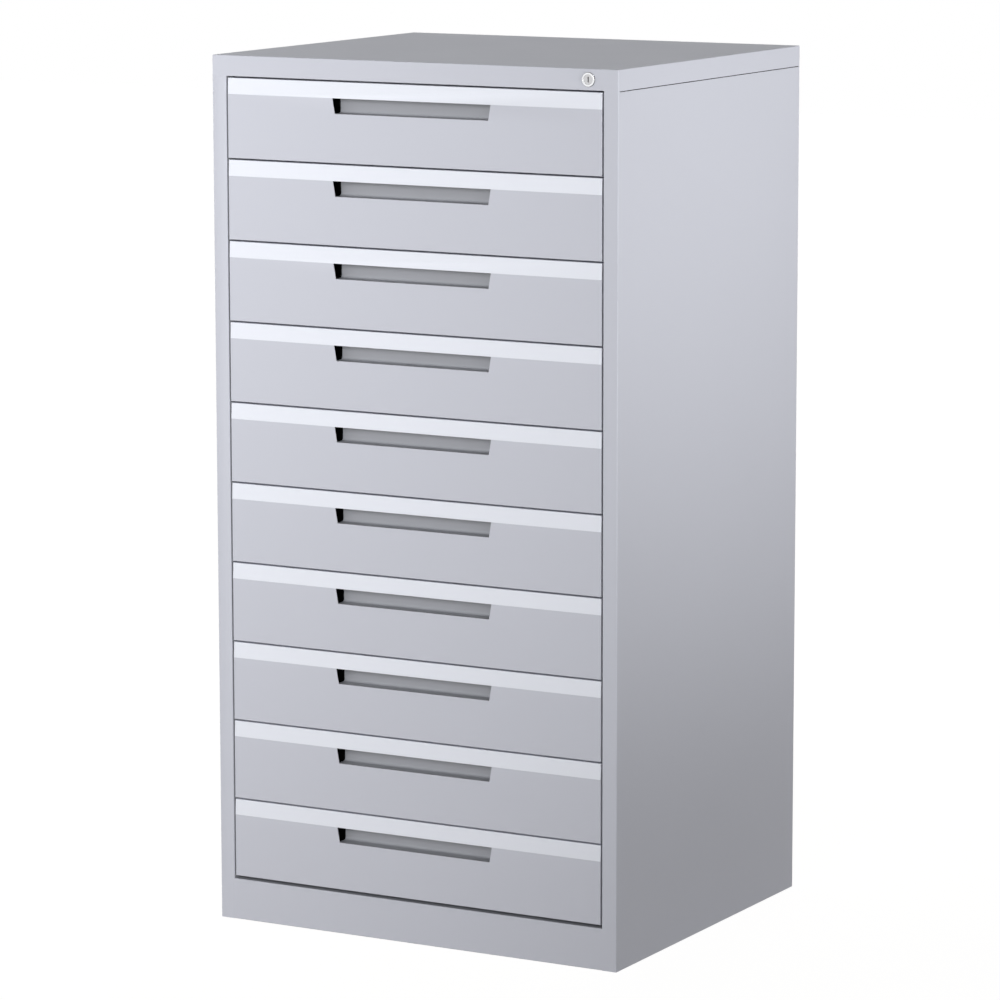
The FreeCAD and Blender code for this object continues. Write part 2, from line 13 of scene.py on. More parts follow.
import bmesh
import bpy
from mathutils import Matrix, Vector


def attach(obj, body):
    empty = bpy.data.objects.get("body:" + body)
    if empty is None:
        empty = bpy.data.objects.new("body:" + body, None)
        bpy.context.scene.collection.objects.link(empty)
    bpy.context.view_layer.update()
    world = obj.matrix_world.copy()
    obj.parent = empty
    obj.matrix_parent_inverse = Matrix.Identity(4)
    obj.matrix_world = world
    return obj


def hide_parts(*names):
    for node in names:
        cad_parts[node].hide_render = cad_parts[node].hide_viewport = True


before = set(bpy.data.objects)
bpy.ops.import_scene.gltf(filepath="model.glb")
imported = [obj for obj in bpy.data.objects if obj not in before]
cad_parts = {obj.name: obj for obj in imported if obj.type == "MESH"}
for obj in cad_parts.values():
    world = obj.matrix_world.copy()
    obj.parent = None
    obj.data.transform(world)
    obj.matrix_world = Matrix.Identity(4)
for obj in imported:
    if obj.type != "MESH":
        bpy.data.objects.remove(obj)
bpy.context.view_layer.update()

log = logging.getLogger("cabinet")

Object = bpy.types.Object
Material = bpy.types.Material
Socket = bpy.types.NodeSocket
Edge = bmesh.types.BMEdge
Face = bmesh.types.BMFace
Element = bmesh.types.BMVert | Edge | Face
Test = Callable[..., bool]
Colour = tuple[float, float, float]
Triple = tuple[float, float, float]
Point = tuple[float, float]
Range = tuple[float, float]

MM = 0.001
FRONT_PLANE = -296.4
RIGHT, BACK, UP = (1, 0, 0), (0, 1, 0), (0, 0, 1)
LEFT, FRONT, DOWN = (-1, 0, 0), (0, -1, 0), (0, 0, -1)
SIDES = (-1, 1)

# How far a coordinate may be off, and a vertex from the plane that cuts it
SLACK = 0.02
CUT_SLACK = 0.0001

# Least cosines of a face that looks one way: hardly, mostly, flatly, and without a bend's first facet
SLIGHT, STEEP, FLAT, DEAD_FLAT = 0.05, 0.7, 0.98, 0.999

# Angles, in degrees, from which an edge is rounded and from which it is shaded sharp
ROUNDED_FROM = 40.0
SHARP_FROM = 30.0

# Places of a Mix node's sockets for colours
MIX_AMOUNT, MIX_LOW, MIX_HIGH, MIX_RESULT = 0, 6, 7, 2
WHITE = (1.0, 1.0, 1.0, 1.0)


class Plane(Enum):
    """The plane in which a sheet's section lies, with the axes of its two coordinates and of its length."""

    XY = (0, 1, 2)
    XZ = (0, 2, 1)
    YZ = (1, 2, 0)

    def spot(self, point: Point, along: float) -> Vector:
        """Place a point of a sheet in the frame.

        Args:
            point: Its two coordinates in the plane.
            along: Its coordinate along the sheet's length.

        Returns:
            The point in metres.
        """
        spot = [0.0, 0.0, 0.0]
        for axis, value in zip(self.value, (*point, along)):
            spot[axis] = value
        return place(*spot)


class Part(Enum):
    """The kinds of mesh element that edit mode selects."""

    VERT = "VERT"
    EDGE = "EDGE"
    FACE = "FACE"


@dataclass(frozen=True)
class Cabinet:
    """The sizes that several sub-assemblies share."""

    half_width: float = 342.0
    depth: float = 595.0
    height: float = 1320.0
    body_top: float = 1289.0
    shell: float = 0.9
    bend: float = 1.4
    stile_inner: float = 318.0
    plinth: float = 63.0
    first_drawer: float = 68.0
    pitch: float = 122.1
    drawers: int = 10
    tray_half: float = 304.0
    rail_centre: float = 50.0
    runner_start: float = 38.0

    def drawer(self, number: int) -> Vector:
        """Return how far up, in metres, a drawer lies above the lowest one; the top drawer is number 1."""
        return Vector((0.0, 0.0, (self.drawers - number) * self.pitch * MM))


CABINET = Cabinet()


# Places


def place(x: float, y: float, z: float) -> Vector:
    """Return the frame's point, in metres, of a place in millimetres."""
    return Vector((x, y + FRONT_PLANE, z)) * MM


def around(low: float, high: float) -> Range:
    """Return a range with a little slack at both ends."""
    return low - SLACK, high + SLACK


def near(value: float) -> Range:
    """Return the narrow range round a coordinate."""
    return around(value, value)


def within(element: Element, **ranges: Range) -> bool:
    """Say whether all of an element lies between given planes.

    Args:
        element: A vertex, an edge or a face.
        ranges: The range of x, y or z, for each that counts.

    Returns:
        Whether every vertex lies within the ranges.
    """
    verts = [element] if isinstance(element, bmesh.types.BMVert) else element.verts
    origin = place(0.0, 0.0, 0.0)
    return all(
        low < (vert.co["xyz".index(axis)] - origin["xyz".index(axis)]) / MM < high
        for vert in verts for axis, (low, high) in ranges.items()
    )


def looks(face: Face, direction: Triple, least: float = FLAT) -> bool:
    """Say whether a face looks one way, to a least cosine."""
    return face.normal.dot(Vector(direction)) > least


# Modelling


def deselect() -> None:
    """Deselect every object."""
    bpy.ops.object.select_all(action="DESELECT")


def make_active(obj: Object) -> None:
    """Select one object alone and make it active.

    Args:
        obj: The object.
    """
    deselect()
    obj.select_set(True)
    bpy.context.view_layer.objects.active = obj


def name_mesh(obj: Object, name: str) -> Object:
    """Give an object and its mesh one name.

    Args:
        obj: The object.
        name: The name.

    Returns:
        The object.
    """
    obj.name = name
    obj.data.name = name
    return obj


def add_block(name: str, low: Triple, high: Triple) -> Object:
    """Add a block between two corners.

    Args:
        name: The new object's name.
        low: The lowest corner.
        high: The highest corner.

    Returns:
        The block, with its place and size in its mesh.
    """
    start, end = place(*low), place(*high)
    deselect()
    bpy.ops.mesh.primitive_cube_add(size=1, location=(start + end) / 2, scale=end - start)
    block = name_mesh(bpy.context.active_object, name)
    bpy.ops.object.transform_apply(location=True, rotation=True, scale=True)
    return block


def add_round(name: str, x: float, z: float, radius: float, span: Range, sides: int = 64) -> Object:
    """Add a cylinder that lies along Y.

    Args:
        name: The new object's name.
        x: Where its axis is across the cabinet.
        z: How high its axis is.
        radius: Its radius.
        span: Where it starts and ends along Y.
        sides: How many sides stand for the round.

    Returns:
        The cylinder, with its place in its mesh.
    """
    deselect()
    bpy.ops.mesh.primitive_cylinder_add(
        vertices=sides, radius=radius * MM, depth=(span[1] - span[0]) * MM,
        location=place(x, sum(span) / 2, z), rotation=(math.pi / 2, 0, 0))
    cylinder = name_mesh(bpy.context.active_object, name)
    bpy.ops.object.transform_apply(location=True, rotation=True, scale=True)
    return cylinder


@contextmanager
def editing(obj: Object) -> Iterator[None]:
    """Work on one mesh in edit mode, with nothing selected at the start.

    Args:
        obj: The mesh's object.
    """
    make_active(obj)
    bpy.ops.object.mode_set(mode="EDIT")
    bpy.ops.mesh.select_all(action="DESELECT")
    yield
    bpy.ops.object.mode_set(mode="OBJECT")


def choose(obj: Object, part: Part, wanted: Test) -> None:
    """Select the elements of the mesh in edit mode for which a test holds.

    Args:
        obj: The object in edit mode.
        part: The kind of element.
        wanted: The test, given a bmesh element.
    """
    bpy.ops.mesh.select_mode(type=part.value)
    bpy.ops.mesh.select_all(action="DESELECT")
    mesh = bmesh.from_edit_mesh(obj.data)
    elements = {Part.VERT: mesh.verts, Part.EDGE: mesh.edges, Part.FACE: mesh.faces}[part]
    mesh.normal_update()
    for element in [element for element in elements if wanted(element)]:
        element.select_set(True)
    bmesh.update_edit_mesh(obj.data)


def cut(obj: Object, face: Test, point: Triple, normal: Triple) -> None:
    """Cut some faces of the mesh in edit mode with a plane.

    Args:
        obj: The object in edit mode.
        face: The test for the faces that are cut.
        point: A point on the plane.
        normal: The plane's normal.
    """
    choose(obj, Part.FACE, face)
    bpy.ops.mesh.bisect(
        plane_co=place(*point), plane_no=Vector(normal).normalized(), threshold=CUT_SLACK * MM)


def open_up(obj: Object, face: Test, kind: str = "FACE") -> None:
    """Delete some faces of the mesh in edit mode, with ONLY_FACE leaving the edges between them."""
    choose(obj, Part.FACE, face)
    bpy.ops.mesh.delete(type=kind)


def bend(obj: Object, edge: Test, radius: float, segments: int = 4) -> None:
    """Round some edges of the mesh in edit mode, in a number of runs."""
    choose(obj, Part.EDGE, edge)
    bpy.ops.mesh.bevel(offset=radius * MM, segments=segments, affect="EDGES", clamp_overlap=False)


def extrude(obj: Object, edge: Test, step: Triple) -> None:
    """Extrude some edges of the mesh in edit mode by a step."""
    choose(obj, Part.EDGE, edge)
    bpy.ops.mesh.extrude_region_move(TRANSFORM_OT_translate={"value": Vector(step) * MM})


def recoat(obj: Object, face: Test) -> None:
    """Give some faces of an object its second material.

    Args:
        obj: The object.
        face: The test for those faces.
    """
    with editing(obj):
        choose(obj, Part.FACE, face)
        obj.active_material_index = 1
        bpy.ops.object.material_slot_assign()


def finish_with(obj: Object, kind: str, **settings: object) -> None:
    """Add one modifier to an object and apply it.

    Args:
        obj: The object.
        kind: The modifier's type.
        settings: The modifier's settings.
    """
    make_active(obj)
    modifier = obj.modifiers.new(kind.title(), kind)
    for key, value in settings.items():
        setattr(modifier, key, value)
    bpy.ops.object.modifier_apply(modifier=modifier.name)


def thicken(obj: Object, sheet: float, inner_slot: int = 0) -> None:
    """Give a surface the thickness of its sheet, behind its outer face, and its inside a material slot."""
    finish_with(obj, "SOLIDIFY", thickness=sheet * MM, offset=-1, use_even_offset=True,
                material_offset=inner_slot)


def cut_out(obj: Object, cutter: Object) -> None:
    """Cut one object out of another and delete the cutter."""
    finish_with(obj, "BOOLEAN", operation="DIFFERENCE", object=cutter, solver="EXACT")
    bpy.data.meshes.remove(cutter.data)


def break_edges(obj: Object, width: float = 0.12) -> None:
    """Round the sharp edges of an object slightly."""
    finish_with(obj, "BEVEL", width=width * MM, segments=2, limit_method="ANGLE",
                angle_limit=math.radians(ROUNDED_FROM), use_clamp_overlap=True, loop_slide=True)


def smooth(obj: Object) -> None:
    """Shade an object smooth, with its sharp edges kept sharp and its flat faces kept flat.

    Args:
        obj: The object.
    """
    make_active(obj)
    bpy.ops.object.shade_smooth_by_angle(angle=math.radians(SHARP_FROM))
    finish_with(obj, "WEIGHTED_NORMAL", keep_sharp=True, weight=100)


def join(objects: Sequence[Object]) -> Object:
    """Join objects into the first one.

    Args:
        objects: The objects.

    Returns:
        The first one.
    """
    make_active(objects[0])
    for obj in objects[1:]:
        obj.select_set(True)
    bpy.ops.object.join()
    return objects[0]


def copy_at(obj: Object, name: str, shift: Vector) -> Object:
    """Copy an object with a mesh of its own.

    Args:
        obj: The object.
        name: The copy's name.
        shift: How far the copy is moved, in metres and in its mesh.

    Returns:
        The copy.
    """
    copied = obj.copy()
    copied.data = obj.data.copy()
    copied.data.transform(Matrix.Translation(shift))
    bpy.context.scene.collection.objects.link(copied)
    return name_mesh(copied, name)


def mirrored(obj: Object, name: str) -> Object:
    """Copy an object to the other side of the middle plane.

    Args:
        obj: The object.
        name: The copy's name.

    Returns:
        The copy, with its faces still pointing outwards.
    """
    copied = copy_at(obj, name, Vector())
    copied.data.transform(Matrix.Scale(-1, 4, Vector(RIGHT)))
    copied.data.flip_normals()
    return copied


@dataclass
class FoldedSheet:
    """A sheet folded along a path of square corners, as long as its piece.

    The path is the sheet's outer face, and the sheet's thickness lies on its left.
    """

    path: Sequence[Point]
    plane: Plane
    start: float
    end: float
    sheet: float
    bend: float = CABINET.bend
    segments: int = 4

    def build(self, name: str, broken: bool = True) -> Object:
        """Model the sheet: a first run, the others extruded from it, then its bends and its thickness.

        Args:
            name: The new object's name.
            broken: Whether the sheet's sharp edges are rounded slightly.

        Returns:
            The sheet.
        """
        sheet = self._first_run(name)
        with editing(sheet):
            for before, after in zip(self.path[1:], self.path[2:]):
                step = self.plane.spot(after, 0.0) - self.plane.spot(before, 0.0)
                extrude(sheet, lambda edge: self._on_fold(edge, before), step / MM)
            if self._looks_inward(sheet):
                bpy.ops.mesh.select_all(action="SELECT")
                bpy.ops.mesh.flip_normals()
            folds = self.path[1:-1]
            bend(sheet, lambda edge: any(self._on_fold(edge, fold) for fold in folds), self.bend,
                 self.segments)
        thicken(sheet, self.sheet)
        if broken:
            break_edges(sheet)
        smooth(sheet)
        return sheet

    def _first_run(self, name: str) -> Object:
        """Add a plane at the place and size of the path's first run.

        Args:
            name: The new object's name.

        Returns:
            The plane.
        """
        first = self.plane.spot(self.path[0], self.start)
        second = self.plane.spot(self.path[1], self.start)
        along = self.plane.spot(self.path[0], self.end) - first
        run = second - first
        across = run.normalized().cross(along.normalized())
        turn = Matrix((run.normalized(), along.normalized(), across)).transposed()
        deselect()
        bpy.ops.mesh.primitive_plane_add(
            size=1, location=(first + second + along) / 2, rotation=turn.to_euler())
        sheet = name_mesh(bpy.context.active_object, name)
        sheet.scale = (run.length, along.length, 1)
        bpy.ops.object.transform_apply(location=True, rotation=True, scale=True)
        return sheet

    def _on_fold(self, edge: Edge, corner: Point) -> bool:
        """Say whether an edge runs along the sheet at a corner of the path."""
        u, v, _ = self.plane.value
        return within(edge, **{"xyz"[u]: near(corner[0]), "xyz"[v]: near(corner[1])})

    def _looks_inward(self, sheet: Object) -> bool:
        """Say whether the first run's face looks to the left of the path, where the thickness goes.

        Args:
            sheet: The sheet in edit mode.

        Returns:
            Whether it does.
        """
        u, v, _ = self.plane.value
        (first_u, first_v), (second_u, second_v) = self.path[:2]
        left = (first_v - second_v, second_u - first_u)
        middle = self.plane.spot(((first_u + second_u) / 2, (first_v + second_v) / 2),
                                 (self.start + self.end) / 2)
        mesh = bmesh.from_edit_mesh(sheet.data)
        mesh.normal_update()
        face = min(mesh.faces, key=lambda item: (item.calc_center_median() - middle).length)
        return face.normal[u] * left[0] + face.normal[v] * left[1] > 0


# Shader nodes


@dataclass
class Value:
    """A number that a shader node gives, with arithmetic that adds Math nodes."""

    graph: "Graph"
    socket: Socket

    def _math(self, operation: str, *numbers: "Value | float") -> "Value":
        """Return what a Math node gives for some numbers."""
        return self.graph.value("ShaderNodeMath", {"operation": operation}, dict(enumerate(numbers)))

    def __add__(self, other: "Value | float") -> "Value":
        """Add."""
        return self._math("ADD", self, other)

    def __radd__(self, other: float) -> "Value":
        """Add this value to a number."""
        return self._math("ADD", self, other)

    def __sub__(self, other: "Value | float") -> "Value":
        """Subtract."""
        return self._math("SUBTRACT", self, other)

    def __rsub__(self, other: float) -> "Value":
        """Subtract this value from a number."""
        return self._math("SUBTRACT", other, self)

    def __mul__(self, other: "Value | float") -> "Value":
        """Multiply."""
        return self._math("MULTIPLY", self, other)

    def __rmul__(self, other: float) -> "Value":
        """Multiply this value by a number."""
        return self._math("MULTIPLY", self, other)

    def sine(self) -> "Value":
        """Return the sine."""
        return self._math("SINE", self)

    def between(self, low: float, high: float) -> "Value":
        """Return 0 below the low limit, 1 above the high one and a smooth step between them."""
        return self.graph.value("ShaderNodeMapRange", {"interpolation_type": "SMOOTHSTEP"},
                                {"Value": self, "From Min": low, "From Max": high})


Input = Value | Socket | float | Sequence[float]
Inputs = Mapping[int | str, Input]
Settings = Mapping[str, str]


class Graph:
    """The node graph of a material or a world."""

    def __init__(self, owner: Material | bpy.types.World) -> None:
        """Empty the owner's node graph.

        Args:
            owner: The material or the world.
        """
        owner.use_nodes = True
        self.owner = owner
        self.tree = owner.node_tree
        self.tree.nodes.clear()

    def node(self, kind: str, settings: Settings, inputs: Inputs) -> bpy.types.Node:
        """Add a node.

        Args:
            kind: The node's type.
            settings: Its settings, set before its inputs.
            inputs: What goes into its sockets, by name or place: a link or a plain value.

        Returns:
            The node.
        """
        node = self.tree.nodes.new(kind)
        for key, setting in settings.items():
            setattr(node, key, setting)
        for key, given in inputs.items():
            self._give(node.inputs[key], given)
        return node

    def _give(self, socket: Socket, given: Input) -> None:
        """Link a socket or set it to a plain value.

        Args:
            socket: The socket.
            given: A value or an output to link, or the plain value.
        """
        if isinstance(given, Value):
            given = given.socket
        if isinstance(given, Socket):
            self.tree.links.new(given, socket)
        else:
            socket.default_value = given

    def value(self, kind: str, settings: Settings, inputs: Inputs, output: int | str = 0) -> Value:
        """Add a node and return one of its outputs as a value."""
        return Value(self, self.node(kind, settings, inputs).outputs[output])

    def coordinates(self, stretch: Triple = (1.0, 1.0, 1.0), centre: Vector = Vector()) -> Socket:
        """Give places on the object.

        Args:
            stretch: How much each axis is stretched.
            centre: The point from which places are counted, in metres.

        Returns:
            The output with the places.
        """
        whole = self.node("ShaderNodeTexCoord", {}, {}).outputs["Object"]
        shift = Vector(-scale * spot for scale, spot in zip(stretch, centre))
        mapping = {"Vector": whole, "Location": shift, "Scale": stretch}
        return self.node("ShaderNodeMapping", {}, mapping).outputs["Vector"]

    def noise(self, spot: Socket, scale: float, detail: float = 2.0, roughness: float = 0.5) -> Value:
        """Return noise of a scale per metre, round 0.5."""
        inputs = {"Vector": spot, "Scale": scale, "Detail": detail, "Roughness": roughness}
        return self.value("ShaderNodeTexNoise", {}, inputs, "Fac")

    def shade(self, amount: Value, colour: Colour, low: float, high: float) -> Socket:
        """Make a colour darker or lighter.

        Args:
            amount: Where between the two factors, from 0 to 1.
            colour: The colour.
            low: What it is multiplied by at 0.
            high: What it is multiplied by at 1.

        Returns:
            The output with the colour.
        """
        darker, lighter = ((*(min(1.0, channel * factor) for channel in colour), 1.0)
                           for factor in (low, high))
        inputs = {MIX_AMOUNT: amount, MIX_LOW: darker, MIX_HIGH: lighter}
        return self.node("ShaderNodeMix", {"data_type": "RGBA"}, inputs).outputs[MIX_RESULT]

    def bump(self, height: Value, depth: float) -> Socket:
        """Return a normal for a height from 0 to 1 that stands for a depth in millimetres."""
        inputs = {"Height": height, "Distance": depth * MM, "Strength": 1.0}
        return self.node("ShaderNodeBump", {}, inputs).outputs["Normal"]

    def show(self, shader: bpy.types.Node) -> None:
        """Send a shader to the owner's output."""
        kind = "World" if isinstance(self.owner, bpy.types.World) else "Material"
        self.node(f"ShaderNodeOutput{kind}", {}, {"Surface": shader.outputs[0]})

    def surface(self, **inputs: Input) -> Material:
        """Finish a material with a Principled shader; an underscore in a name stands for a space.

        Args:
            inputs: What goes into the shader's sockets.

        Returns:
            The material.
        """
        named = {key.replace("_", " "): given for key, given in inputs.items()}
        self.show(self.node("ShaderNodeBsdfPrincipled", {}, named))
        return self.owner

    def seen(self) -> Value:
        """Tell what the camera sees, also in a reflection or through glass, from plain light.

        Returns:
            1 for what it sees and 0 for the light.
        """
        path = self.node("ShaderNodeLightPath", {}, {})
        camera, glossy, through = (Value(self, path.outputs[f"Is {kind} Ray"])
                                   for kind in ("Camera", "Glossy", "Transmission"))
        return camera + glossy + through


# Finishes


@dataclass(frozen=True)
class PowderCoat:
    """Baked powder paint: a satin skin with fine orange peel, and a colour that drifts slightly."""

    name: str
    colour: Colour
    roughness: float = 0.5
    specular: float = 0.25
    drift: float = 0.012
    drift_scale: float = 2.3
    grain: float = 0.012
    grain_scale: float = 1400.0
    grain_gloss: float = 0.05
    peel_depth: float = 0.02
    peel_scale: float = 330.0
    peel_roughness: float = 0.55
    wear_scale: float = 9.0
    wear_gloss: float = 0.08

    def make(self) -> Material:
        """Make the finish.

        Returns:
            Its material.
        """
        graph = Graph(bpy.data.materials.new(self.name))
        spot = graph.coordinates()
        drift = graph.noise(spot, self.drift_scale, 1.0)
        grain = graph.noise(spot, self.grain_scale)
        reach = self.drift + self.grain
        tone = (drift - 0.5) * (self.drift / reach) + grain * 0.5 + 0.25
        peel = graph.noise(spot, self.peel_scale, roughness=self.peel_roughness)
        wear = graph.noise(spot, self.wear_scale, 3.0)
        return graph.surface(
            Base_Color=graph.shade(tone, self.colour, 1 - reach, 1 + reach),
            Roughness=self.roughness + (wear - 0.5) * self.wear_gloss + (grain - 0.5) * self.grain_gloss,
            Normal=graph.bump(peel, self.peel_depth),
            Specular_IOR_Level=self.specular,
        )


@dataclass(frozen=True)
class ZincSheet:
    """Galvanised sheet: zinc crystals that differ in shade and gloss, with faint rolling lines."""

    name: str
    colour: Colour = (0.55, 0.57, 0.59)
    shades: Range = (0.86, 1.12)
    roughness: float = 0.34
    crystals: float = 95.0
    crystal_gloss: float = 0.16
    wander: float = 0.012
    wander_scale: float = 60.0
    rolling: Triple = (900.0, 900.0, 6.0)
    roll_gloss: float = 0.06
    roll_depth: float = 0.004

    def make(self) -> Material:
        """Make the finish.

        Returns:
            Its material.
        """
        graph = Graph(bpy.data.materials.new(self.name))
        spot = graph.coordinates()
        wander = graph.node("ShaderNodeTexNoise", {}, {"Vector": spot, "Scale": self.wander_scale})
        bent = graph.node("ShaderNodeVectorMath", {"operation": "MULTIPLY_ADD"},
                          {0: wander.outputs["Color"], 1: (self.wander,) * 3, 2: spot}).outputs["Vector"]
        cell = graph.value("ShaderNodeTexVoronoi", {"feature": "F1"},
                           {"Vector": bent, "Scale": self.crystals, "Randomness": 1.0}, "Color")
        crystal = graph.value("ShaderNodeSeparateColor", {}, {"Color": cell})
        rolled = graph.noise(graph.coordinates(self.rolling), 1.0)
        return graph.surface(
            Base_Color=graph.shade(crystal, self.colour, *self.shades),
            Metallic=1.0,
            Roughness=self.roughness + crystal * self.crystal_gloss + (rolled - 0.5) * self.roll_gloss,
            Normal=graph.bump(rolled, self.roll_depth),
        )


@dataclass(frozen=True)
class PlatedSteel:
    """Rolled or drawn steel under thin plating, with fine lines along its length."""

    name: str
    colour: Colour
    lines: Triple
    roughness: float = 0.3
    shades: Range = (0.8, 1.15)
    line_share: float = 0.6
    line_gloss: float = 0.12
    line_depth: float = 0.006
    stain_scale: float = 22.0
    stain_gloss: float = 0.16

    def make(self) -> Material:
        """Make the finish.

        Returns:
            Its material.
        """
        graph = Graph(bpy.data.materials.new(self.name))
        lines = graph.noise(graph.coordinates(self.lines), 1.0, 3.0, 0.6)
        stain = graph.noise(graph.coordinates(), self.stain_scale, 4.0, 0.6)
        mixed = lines * self.line_share + stain * (1 - self.line_share)
        return graph.surface(
            Base_Color=graph.shade(mixed, self.colour, *self.shades),
            Metallic=1.0,
            Roughness=self.roughness + (lines - 0.5) * self.line_gloss + (stain - 0.5) * self.stain_gloss,
            Normal=graph.bump(lines, self.line_depth),
        )


@dataclass(frozen=True)
class Chrome:
    """Turned and chromed brass, with faint rings round the lock's axis."""

    name: str
    x: float
    z: float
    colour: Colour
    roughness: float
    shades: Range = (0.93, 1.04)
    ring_spacing: float = 0.35
    ring_depth: float = 0.002
    wipe_scale: float = 420.0
    wipe_gloss: float = 0.1

    def make(self) -> Material:
        """Make the finish.

        Returns:
            Its material.
        """
        graph = Graph(bpy.data.materials.new(self.name))
        centred = graph.coordinates((1.0, 0.0, 1.0), place(self.x, 0.0, self.z))
        radius = graph.value("ShaderNodeVectorMath", {"operation": "LENGTH"}, {0: centred}, "Value")
        rings = (radius * (2 * math.pi / (self.ring_spacing * MM))).sine() * 0.5 + 0.5
        wiped = graph.noise(graph.coordinates(), self.wipe_scale, 3.0)
        return graph.surface(
            Base_Color=graph.shade(wiped, self.colour, *self.shades),
            Metallic=1.0,
            Roughness=self.roughness + wiped * self.wipe_gloss,
            Normal=graph.bump(rings, self.ring_depth),
        )


@dataclass(frozen=True)
class Rubber:
    """Matt moulded rubber with a fine grain."""

    name: str
    colour: Colour = (0.035, 0.035, 0.037)
    shades: Range = (0.7, 1.5)
    roughness: float = 0.68
    grain_scale: float = 2600.0
    grain_depth: float = 0.03
    dust_scale: float = 45.0
    dust_gloss: float = 0.2

    def make(self) -> Material:
        """Make the finish.

        Returns:
            Its material.
        """
        graph = Graph(bpy.data.materials.new(self.name))
        grain = graph.noise(graph.coordinates(), self.grain_scale, 3.0)
        dust = graph.noise(graph.coordinates(), self.dust_scale, 4.0)
        return graph.surface(
            Base_Color=graph.shade(grain * 0.5 + dust * 0.5, self.colour, *self.shades),
            Roughness=self.roughness + (dust - 0.5) * self.dust_gloss,
            Normal=graph.bump(grain, self.grain_depth),
        )


class Finish(Enum):
    """The finishes of the cabinet, each with a name for its material slot."""

    SHELL = "shell_paint"
    FOLD = "fold_paint"
    FRONT = "front_paint"
    STRIP = "front_strip"
    PRIMER = "front_primer"
    PULL = "pull_paint"
    TRAY = "tray_paint"
    ZINC = "zinc_sheet"
    RUNNER = "runner_steel"
    BAR = "bar_steel"
    CHROME = "lock_chrome"
    RIM = "lock_rim"
    CORE = "lock_core"
    RUBBER = "buffer_rubber"


class Finishes:
    """The materials, each made once."""

    def __init__(self) -> None:
        """Make every material."""
        paint = (0.613, 0.629, 0.7)
        recipes = {
            Finish.SHELL: PowderCoat("shell_powder_coat", paint),
            # Painted shade: a darker paint for faces inside folds that are seen only through gaps
            Finish.FOLD: PowderCoat("thin_powder_coat", (0.36, 0.37, 0.4)),
            Finish.FRONT: PowderCoat("front_powder_coat", paint),
            # Painted highlight: the top strips are near white for the light that they catch as they lean back
            Finish.STRIP: PowderCoat("strip_powder_coat", (0.865, 0.893, 0.97), roughness=0.36),
            # Painted shade: a near-black paint for hollows where only shade falls: inside the fronts, behind
            # the seam under the cap and on the trays' front walls
            Finish.PRIMER: PowderCoat("inner_primer", (0.004, 0.004, 0.0045), roughness=0.6, specular=0.1),
            # Painted shade: the pull's channel is painted darker than the shell to stand for the shade in its
            # recess
            Finish.PULL: PowderCoat("pull_powder_coat", (0.39, 0.4, 0.433)),
            Finish.TRAY: PowderCoat("tray_powder_coat", (0.52, 0.53, 0.58)),
            Finish.ZINC: ZincSheet("galvanised_sheet"),
            Finish.RUNNER: PlatedSteel("runner_plated_steel", (0.6, 0.62, 0.64), (900.0, 4.0, 900.0)),
            Finish.BAR: PlatedSteel("bar_drawn_steel", (0.42, 0.43, 0.45), (800.0, 800.0, 5.0), 0.38),
            Finish.CHROME: Chrome("turned_chrome", LOCK.x, LOCK.z, (0.93, 0.94, 0.96), 0.1),
            # Painted dark reflection: the lock head's chamfer and sides are dark where chrome would mirror
            # darker surroundings
            Finish.RIM: Chrome("worn_rim", LOCK.x, LOCK.z, (0.2, 0.2, 0.21), 0.3),
            Finish.CORE: Chrome("satin_core", LOCK.x, LOCK.z, (0.58, 0.58, 0.59), 0.25),
            Finish.RUBBER: Rubber("buffer_rubber"),
        }
        self.materials = {finish: recipe.make() for finish, recipe in recipes.items()}

    def coat(self, obj: Object, *finishes: Finish) -> None:
        """Give an object a material slot for each of some finishes."""
        for finish in finishes:
            obj.data.materials.append(self.materials[finish])

    def dress(self, obj: Object, finish: Finish, body: str, *nodes: str) -> None:
        """Give a new piece its finish, its body and the CAD nodes that it stands for.

        Args:
            obj: The piece.
            finish: Its finish, whose material it gets unless it has its own.
            body: The CAD body that it moves with.
            nodes: The CAD nodes that it replaces.
        """
        if not obj.data.materials:
            self.coat(obj, finish)
        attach(obj, body)
        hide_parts(*nodes)
        log.info("%s rides on %s: %d faces, %s", obj.name, body, len(obj.data.polygons), finish.name.lower())

    def dress_nodes(self, finish: Finish, *nodes: str) -> None:
        """Give CAD nodes that stay their finish.

        Args:
            finish: The finish.
            nodes: The names of the nodes.
        """
        for node in nodes:
            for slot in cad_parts[node].material_slots:
                slot.material = self.materials[finish]
            log.info("%s stays, with %s", node, finish.name.lower())


# Sub-assemblies


